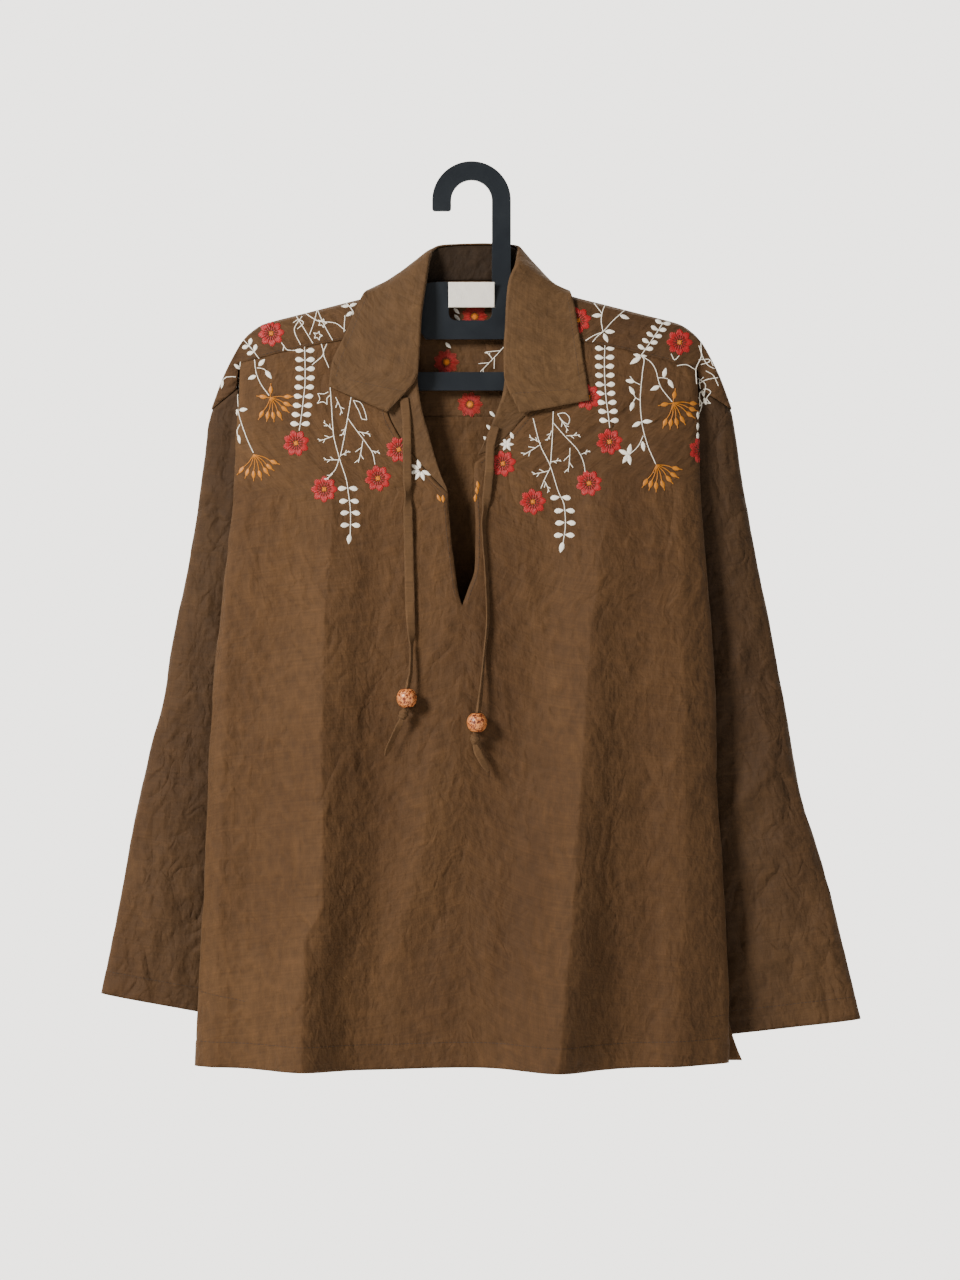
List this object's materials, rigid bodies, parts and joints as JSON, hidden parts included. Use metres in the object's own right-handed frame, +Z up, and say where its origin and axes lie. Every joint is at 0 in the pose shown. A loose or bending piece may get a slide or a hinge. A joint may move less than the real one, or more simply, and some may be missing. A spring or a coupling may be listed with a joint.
{
  "type": "kurta on hanger",
  "caption": "Short brown embroidered kurta with a slit neck, wide collar and beaded ties, hung empty on a flat plastic hanger.",
  "frame": {"origin": "inner top of the hanger's hook, where a rail carries it", "axes": "+Z up, -Y towards the viewer of the garment's front, +Y towards the wall behind, +X to that viewer's right, which is the wearer's left"},
  "size_m": [0.7304, 0.1067, 0.869],
  "materials": {
    "body_cloth": "matt brown linen-look cotton with slubs, soft creases and bright thread embroidery at the top",
    "collar_cloth": "the same brown cloth, lined and pressed, with a row of stitching near the edge",
    "tie_cloth": "narrow tubes of the brown cloth, turned and pressed flat",
    "label": "blank off-white woven satin strip",
    "bead": "glossy peach-orange glaze with thin dark brown scribbles",
    "hanger": "dark charcoal moulded polypropylene with a satin skin"
  },
  "bodies": {
    "root": {"front_right": "body_cloth", "front_left": "body_cloth", "back_panel": "body_cloth", "yoke": "body_cloth", "sleeve_right": "body_cloth", "sleeve_left": "body_cloth", "collar_stand": "collar_cloth", "collar_leaf": "collar_cloth", "label": "label", "hanger": "hanger", "hook": "hanger", "tie_right": "tie_cloth", "tie_left": "tie_cloth", "tail_right": "tie_cloth", "tail_left": "tie_cloth", "knot_right": "tie_cloth", "knot_left": "tie_cloth", "bead_right": "bead", "bead_left": "bead"}
  },
  "joints": []
}
